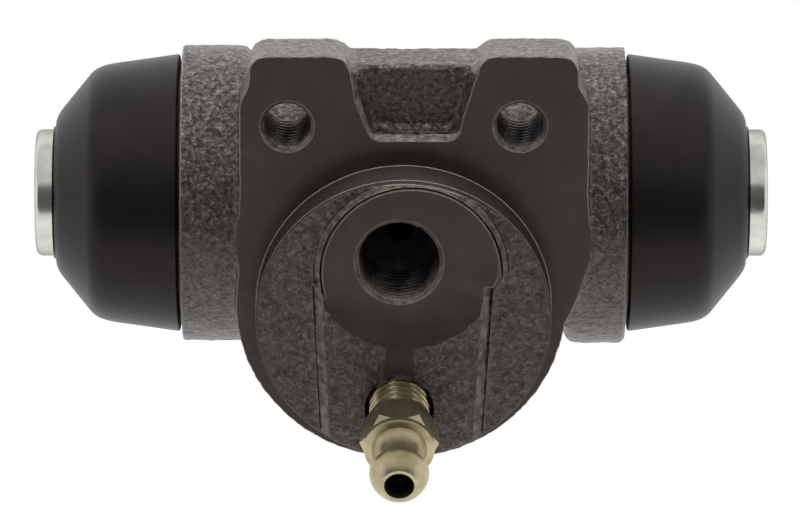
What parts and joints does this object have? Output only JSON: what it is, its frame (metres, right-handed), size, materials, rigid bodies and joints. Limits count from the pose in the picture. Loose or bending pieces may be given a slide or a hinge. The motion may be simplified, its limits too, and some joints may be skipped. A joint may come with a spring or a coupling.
{
  "type": "wheel cylinder",
  "caption": "Cast iron drum brake wheel cylinder with opposed pistons, domed rubber boots, a round spigot with a threaded inlet, tapped mounting ears and a plated bleed screw.",
  "frame": {"origin": "centre of the round locating spigot, on the plane of the mounting face", "axes": "+X along the bore, -Y out of the mounting face, +Z towards the tapped ears"},
  "size_m": [0.0864, 0.0568, 0.0499],
  "materials": {
    "cast_iron": "dark phosphated grey iron casting with machined faces",
    "piston_metal": "bright turned",
    "cup_rubber": "smooth moulded",
    "pressed_steel": "plain pressed sheet",
    "spring_steel": "drawn wire",
    "boot_rubber": "matt moulded",
    "plated_steel": "yellow zinc plated"
  },
  "bodies": {
    "cylinder": {"cylinder_body": "cast_iron", "return_spring": "spring_steel", "dust_boot_left": "boot_rubber", "dust_boot_right": "boot_rubber"},
    "left_piston": {"piston_left": "piston_metal", "piston_cup_left": "cup_rubber", "cup_expander_left": "pressed_steel"},
    "right_piston": {"piston_right": "piston_metal", "piston_cup_right": "cup_rubber", "cup_expander_right": "pressed_steel"},
    "bleeder": {"bleed_screw": "plated_steel"}
  },
  "joints": [
    {"name": "left_piston_slide", "type": "slide", "parent": "cylinder", "child": "left_piston", "axis": [-1, 0, 0], "range_m": [-0.003, 0.008], "deforming": ["dust_boot_left", "return_spring"]},
    {"name": "right_piston_slide", "type": "slide", "parent": "cylinder", "child": "right_piston", "axis": [1, 0, 0], "range_m": [-0.003, 0.008], "deforming": ["dust_boot_right", "return_spring"]},
    {"name": "bleed_screw_turn", "type": "hinge", "parent": "cylinder", "child": "bleeder", "pos_m": [-0.0005, -0.0051, -0.0105], "axis": [0, -0.9744, -0.225], "range_deg": [0, 360]}
  ]
}
